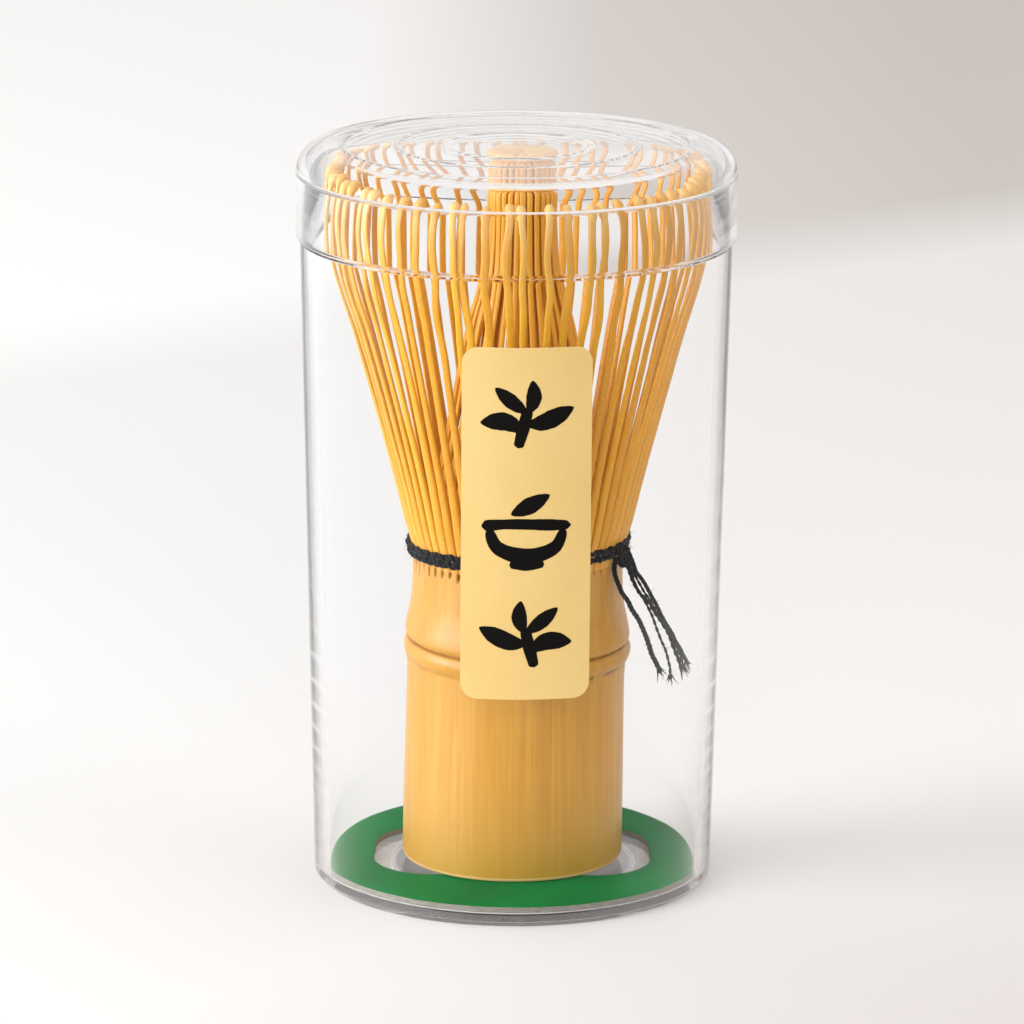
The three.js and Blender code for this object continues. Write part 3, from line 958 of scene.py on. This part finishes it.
def make_inner_tines(material, folded):
    chance = random.Random(23)
    for stave in range(STAVES):
        shell = Shell("along", "tone", "stain")
        for tine in range(TINES_PER_STAVE):
            number = stave * TINES_PER_STAVE + tine
            angle = (number - (TINES_PER_STAVE - 1) / 2) * PITCH
            behind = INNER_BEHIND * (number % 2)
            line = [(radius - behind * smoothstep(56, 92, height), height) for radius, height in INNER_LINE]
            path = tine_path(line, angle, 48, chance.gauss(0, 0.16) * PITCH, chance.gauss(0, 0.35) * PITCH,
                             chance.gauss(0, 0.06), -0.2 * chance.random(), LEAN_OF_BUTTON)
            scale = 1 + chance.gauss(0, 0.08)
            width = [value * scale for value in INNER_WIDTH]
            # Painted light: the gathered tines take only the lighter half of the tones, to brighten the bundle
            # shaded by the flared tines.
            sweep(shell, path, tine_section(width, INNER_THICKNESS, 0.9), outward=away_from_axis,
                  along=lambda share: 0.85 * share, tone=0.5 * chance.random())
        add_button_lobe(shell, stave, chance)
        name = f"gathered_tines_{stave + 1:02d}"
        make_piece(name, shell, "whisk", [material, folded],
                   [f"inner_tines_{stave + 1:02d}"], sharp=50)


def add_button_lobe(shell, stave, chance):
    """One stave's folded end: a puffy wedge from the bundle's edge to its middle."""
    angle = TURN * stave / STAVES + chance.gauss(0, 0.05)
    thickness = 2.0 + chance.gauss(0, 0.12)
    top = BUTTON_TOP - 0.1 + chance.gauss(0, 0.04)
    spread_out = TURN / STAVES * (1.12 + chance.gauss(0, 0.04))
    direction = Vector((math.cos(angle), math.sin(angle), 0))
    steps = 16
    path = []
    for step in range(steps + 1):
        share = step / steps
        radius = mix(0.12, BUTTON_RADIUS, share)
        dimple = 0.35 * (1 - smoothstep(0, 0.22, share))
        path.append(lean(direction * radius + Vector((0, 0, top - thickness / 2 - dimple)), LEAN_OF_BUTTON))

    def section(share):
        radius = mix(0.12, BUTTON_RADIUS, share)
        edge = math.sqrt(max(1 - max((share - 0.84) / 0.17, 0.0) ** 2, 0.0))
        return oval(2 * radius * math.tan(spread_out / 2) * mix(0.86, 1, edge), thickness * edge, 16, 0.5)

    sweep(shell, path, section, outward=lambda point: Vector((0, 0, 1)), slot=1,
          stain=lambda share: 0.6 * (1 - smoothstep(0, 0.12, share)))


# ---- Thread ----

def twisted(shell, path, plies, closed=False, radius=PLY_RADIUS, flat=1.0, worn=0.0):
    """Plies of thread twisted round each other along a path, flattened by flat."""
    frames = frames_along(path, closed)
    length = sum((end - start).length for start, end in zip(path, path[1:]))
    turns = length / PLY_PITCH
    turns = round(turns) if closed else turns
    last = len(path) - (0 if closed else 1)
    centre = radius / math.sin(math.pi / plies) if plies > 2 else radius * 0.92
    for ply in range(plies):
        line = []
        for index, (point, (_, normal, side)) in enumerate(zip(path, frames)):
            angle = TURN * (ply / plies + turns * index / last)
            line.append(point + normal * math.cos(angle) * centre * flat + side * math.sin(angle) * centre)
        sweep(shell, line, lambda share: oval(2.1 * radius, 2.1 * radius, 8), closed, worn=worn)


def fuzz(shell, path, count, chance, length=0.9, spread=0.5, worn=0.0):
    """Stray fibres that stand off a thread."""
    for _ in range(count):
        start = path[chance.randrange(len(path))]
        way = Vector([chance.gauss(0, 1) for _ in range(3)]).normalized()
        bend = Vector([chance.gauss(0, 0.5) for _ in range(3)])
        reach = length * chance.uniform(0.4, 1.2)
        root = start + way * spread * 0.7
        line = [root + way * reach * share + bend * reach * share ** 2 for share in (0, 0.25, 0.5, 0.75, 1)]
        sweep(shell, line, lambda share: oval(FIBRE * (1 - 0.5 * share), FIBRE * (1 - 0.5 * share), 4),
              worn=worn)


def binding_path(rise, radius, phase):
    """A wrap of thread round the whisk, drawn in a little between the tines."""
    steps = TINES * 8
    path = []
    for step in range(steps):
        angle = TURN * step / steps
        direction = Vector((math.cos(angle), math.sin(angle), 0))
        scallop = math.cos(angle / PITCH * TURN + phase)
        wander = 0.12 * noise.noise(direction * 2.5 + Vector((0, 0, rise)))
        height = binding_level(direction) + rise + 0.16 * scallop + wander
        path.append(lean(direction * (radius + 0.13 * scallop) + Vector((0, 0, height))))
    return path


def make_binding(material):
    chance = random.Random(5)
    shell = Shell("worn")
    radius = BINDING_HIGH.x - 2 * PLY_RADIUS
    for rise, out, phase in ((-0.55, radius - 0.3, 0), (0.6, radius - 0.05, math.pi)):
        path = binding_path(rise, out, phase)
        twisted(shell, path, 2, closed=True)
        fuzz(shell, path, 260, chance)
    make_piece("thread_wraps", shell, "whisk", [material], ["thread_binding"], sharp=80)


def make_knot(material):
    """A small overhand knot on the binding."""
    chance = random.Random(8)
    centre = lean((KNOT_LOW + KNOT_HIGH) / 2)
    outward = away_from_axis(centre)
    side = Vector((-outward.y, outward.x, 0))
    centre = centre - outward * 0.5 - Vector((0, 0, 0.95))
    shell = Shell("worn")
    path = []
    steps = 90
    for step in range(steps):
        t = TURN * step / steps
        across = (math.sin(t) + 2 * math.sin(2 * t)) * 0.34
        up = (math.cos(t) - 2 * math.cos(2 * t)) * 0.5
        out = -math.sin(3 * t) * 0.5
        path.append(centre + side * across + Vector((0, 0, up)) + outward * out)
    twisted(shell, path, 2, closed=True)
    fuzz(shell, path, 120, chance)
    make_piece("knotted_thread", shell, "whisk", [material], ["thread_knot"], sharp=80)


# The loose ends: how many plies and how thick, and the route from the knot down
LOOSE_ENDS = [
    (3, 0.21, [(16.2, -8.9, 55.2), (16, -9.4, 52.8), (17.2, -9.7, 49.8), (19.0, -9.7, 46.7),
               (20.5, -9.4, 43.7), (21.5, -9.2, 40.9), (22.3, -9.1, 38.7), (23.4, -9, 36.3)]),
    (2, 0.13, [(18.3, -7.6, 54.6), (19.2, -8.2, 50.9), (20.6, -8.3, 48.3), (22.0, -8.2, 45.6),
               (23.2, -8.4, 42.4), (24.2, -8.5, 39.9), (24.9, -8.4, 37.1), (25.1, -8.4, 35.1)]),
    (2, 0.19, [(17.6, -7.9, 55), (18.9, -7.9, 51.2), (20.3, -7.6, 48.8), (21.8, -7.1, 47), (22.9, -6.7, 45.2),
               (24.3, -6.8, 43), (25.4, -7, 40.6), (26.3, -7.1, 38.2), (26.9, -7.2, 36.3)]),
    (2, 0.13, [(18.2, -6.8, 55), (19.9, -6.6, 50.6), (21.7, -6.2, 47.6), (23.2, -6, 45), (24.9, -6, 42.2),
               (26.2, -6, 39.6), (27, -6, 37.4), (27.6, -6, 35.8)]),
    (3, 0.18, [(18.3, -6.2, 55.6), (19.5, -6, 52.2), (21.1, -5.6, 49.8), (22.4, -5.4, 47.4),
               (23.5, -5.2, 45.1), (25, -4.9, 42.4), (26.3, -4.7, 39.9), (27.4, -4.6, 37.9), (28.3, -4.6, 36.3)]),
]
THREAD_DROP = Vector((0, 0, -0.45))
FRAY = 1.5      # length over which an end comes apart into fibres


def make_loose_ends(material):
    chance = random.Random(17)
    for number, (plies, thickness, route) in enumerate(LOOSE_ENDS, 1):
        shell = Shell("worn")
        path = spline(route, 90)
        path = [point + THREAD_DROP + 0.15 * noise.noise_vector(point * 0.55) for point in path]
        twisted(shell, path, plies, radius=thickness, flat=0.7,
                worn=lambda share: smoothstep(0.15, 0.75, share))
        fuzz(shell, path[20:], 40, chance, 0.5, thickness * 1.4, 0.8)
        add_fray(shell, path, thickness, chance)
        make_piece(f"loose_thread_{number}", shell, "whisk", [material],
                   [f"thread_end_{number}"], sharp=80)


def add_fray(shell, path, thickness, chance):
    """Bundles of fibres where a thread was cut."""
    tip = path[-1]
    heading = (path[-1] - path[-4]).normalized()
    for _ in range(12):
        apart = Vector([chance.gauss(0, 0.26) for _ in range(3)])
        start = tip - heading * 0.6 + apart * thickness * 3
        reach = FRAY * chance.uniform(0.5, 1)
        line = [start + (heading + apart) * reach * share + apart * 0.5 * share ** 2
                for share in (0, 0.3, 0.6, 1)]
        width = chance.uniform(0.12, 0.3)
        sweep(shell, line, lambda share: oval(width * (1.15 - share), width * (1.15 - share), 5), worn=1.0)


# ---- Stage, light and camera ----

def make_stage():
    """A pale floor that turns softly greyer far behind the object. Far back it darkens towards +X as painted
    shade, and close to the object a painted shadow of the case lies to its right and front.
    """
    bpy.ops.mesh.primitive_plane_add(size=9.0, location=(0, 0, 0))
    floor = bpy.context.object
    floor.name = "floor"
    finish = Finish("pale_floor", Roughness=0.75, Specular_IOR_Level=0.15)
    coordinates = finish.node("ShaderNodeTexCoord").outputs["Object"]
    turned = finish.node("ShaderNodeMapping", {"Vector": coordinates, "Rotation": (0, 0, math.radians(-35))})
    beyond = finish.node("ShaderNodeSeparateXYZ", {"Vector": turned.outputs["Vector"]}).outputs["Y"]
    across = finish.node("ShaderNodeSeparateXYZ", {"Vector": coordinates}).outputs["X"]
    # Painted shade: the far backdrop darkens towards +X, away from the light on the left.
    wall = finish.ramp(finish.spread(across, -0.16, 0.12), [
        (0.0, colour(252, 252, 251)), (0.42, colour(250, 249, 248)), (0.66, colour(218, 212, 208)),
        (1.0, colour(206, 200, 194))])
    depth = finish.node("ShaderNodeSeparateXYZ", {"Vector": coordinates}).outputs["Y"]
    # Painted shadow: the floor in front darkens towards +X, and most to the right of and in front of the case,
    # where its shadow falls.
    near_floor_painted_shadow = finish.blend(finish.spread(across, -0.1, 0.16), colour(237, 237, 236), colour(234, 229, 226))
    corner = finish.spread(finish.maths("SUBTRACT", across, depth), 0.02, 0.2)
    near_floor_painted_shadow = finish.blend(corner, near_floor_painted_shadow, colour(212, 206, 204))
    lit = finish.blend(finish.spread(beyond, 0.35, 0.41), near_floor_painted_shadow, wall)
    finish.set("Base Color", finish.blend(finish.spread(depth, -0.16, -0.11), colour(170, 170, 172), lit))
    floor.data.materials.append(finish.material)


def add_light(name, place, size, power, tint, mirrored):
    """A soft lamp. The clear plastic mirrors it only if mirrored is set."""
    light = bpy.data.lights.new(name, "AREA")
    light.shape = "RECTANGLE"
    light.size, light.size_y = size
    light.energy = power
    light.color = tint
    thing = bpy.data.objects.new(name, light)
    bpy.context.scene.collection.objects.link(thing)
    thing.location = place
    thing.rotation_euler = (Vector(LAMP_TARGET) - Vector(place)).to_track_quat("-Z", "Y").to_euler()
    thing.visible_glossy = mirrored
    thing.visible_transmission = False


def make_world():
    """A white studio, dim low down and in front, so that the case mirrors little."""
    world = bpy.data.worlds.new("studio")
    bpy.context.scene.world = world
    world.use_nodes = True
    nodes, links = world.node_tree.nodes, world.node_tree.links
    way = nodes.new("ShaderNodeTexCoord").outputs["Generated"]
    parts = nodes.new("ShaderNodeSeparateXYZ")
    links.new(way, parts.inputs["Vector"])
    shares = []
    for axis, low, high, bright in (("Y", *WORLD_BACK), ("Z", *WORLD_TOP)):
        share = nodes.new("ShaderNodeMapRange")
        share.interpolation_type = "SMOOTHSTEP"
        share.inputs["From Min"].default_value = low
        share.inputs["From Max"].default_value = high
        share.inputs["To Min"].default_value = WORLD_DIM
        share.inputs["To Max"].default_value = bright
        links.new(parts.outputs[axis], share.inputs["Value"])
        shares.append(share.outputs["Result"])
    most = nodes.new("ShaderNodeMath")
    most.operation = "MAXIMUM"
    links.new(shares[0], most.inputs[0])
    links.new(shares[1], most.inputs[1])
    background = nodes["Background"]
    background.inputs["Color"].default_value = (1.0, 0.985, 0.975, 1.0)
    links.new(most.outputs["Value"], background.inputs["Strength"])


def make_lights():
    for name, place, size, power, tint, mirrored in LAMPS:
        add_light(name, place, size, power, tint, mirrored)
    make_world()


def make_camera():
    """The camera's height, distance and tilt are the photograph's."""
    camera = bpy.data.cameras.new("camera")
    camera.sensor_width = SENSOR_WIDTH
    camera.lens = CAMERA_LENS
    thing = bpy.data.objects.new("camera", camera)
    bpy.context.scene.collection.objects.link(thing)
    turn = Matrix.Rotation(math.pi / 2 - CAMERA_DOWN, 4, "X") @ Matrix.Rotation(CAMERA_ROLL, 4, "Z")
    thing.matrix_world = Matrix.Translation(CAMERA_PLACE) @ turn
    bpy.context.scene.camera = thing


def main():
    scene = bpy.context.scene
    scene.view_settings.view_transform = "Standard"
    scene.cycles.max_bounces = LIGHT_BOUNCES
    scene.cycles.transmission_bounces = LIGHT_BOUNCES
    scene.cycles.glossy_bounces = LIGHT_BOUNCES
    make_camera()
    make_stage()
    make_lights()
    plastic = clear_finish()
    paper, rim, ink = paper_finishes()
    shaved = tine_finish()
    thread = thread_finish()
    make_cup(plastic)
    make_lid(plastic)
    make_board()
    make_label(paper, rim)
    make_motifs(ink)
    make_handle()
    make_outer_tines(shaved)
    make_inner_tines(shaved, button_finish())
    make_binding(thread)
    make_knot(thread)
    make_loose_ends(thread)


main()
